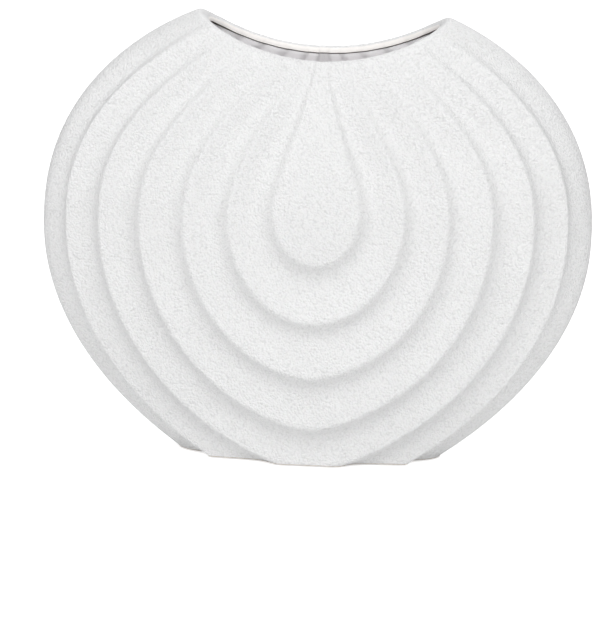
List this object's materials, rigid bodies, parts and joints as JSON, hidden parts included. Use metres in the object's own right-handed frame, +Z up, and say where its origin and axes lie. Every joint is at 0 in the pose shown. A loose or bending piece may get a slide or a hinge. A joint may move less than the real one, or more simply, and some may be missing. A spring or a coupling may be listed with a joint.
{
  "type": "flat oval table vase",
  "caption": "Free-standing flat oval stoneware vase with shell-like ripples on both faces, a scooped slit mouth between raised tips, a glazed inside and felt pads under a flat base.",
  "frame": {"origin": "centre of the footprint, on the surface the vase stands on", "axes": "+X across the vase to its right as seen from the front, +Y from the front face to the back face, +Z up; the front faces -Y"},
  "size_m": [0.3, 0.098, 0.2454],
  "materials": {
    "stoneware": "matte white with a fine pebbly grain",
    "glaze": "smooth satin cream glaze",
    "felt": "pressed pale grey felt"
  },
  "bodies": {
    "root": {"vase_body": "stoneware", "glaze_lining": "glaze", "foot_pad_front_left": "felt", "foot_pad_front_right": "felt", "foot_pad_back_left": "felt", "foot_pad_back_right": "felt"}
  },
  "joints": []
}
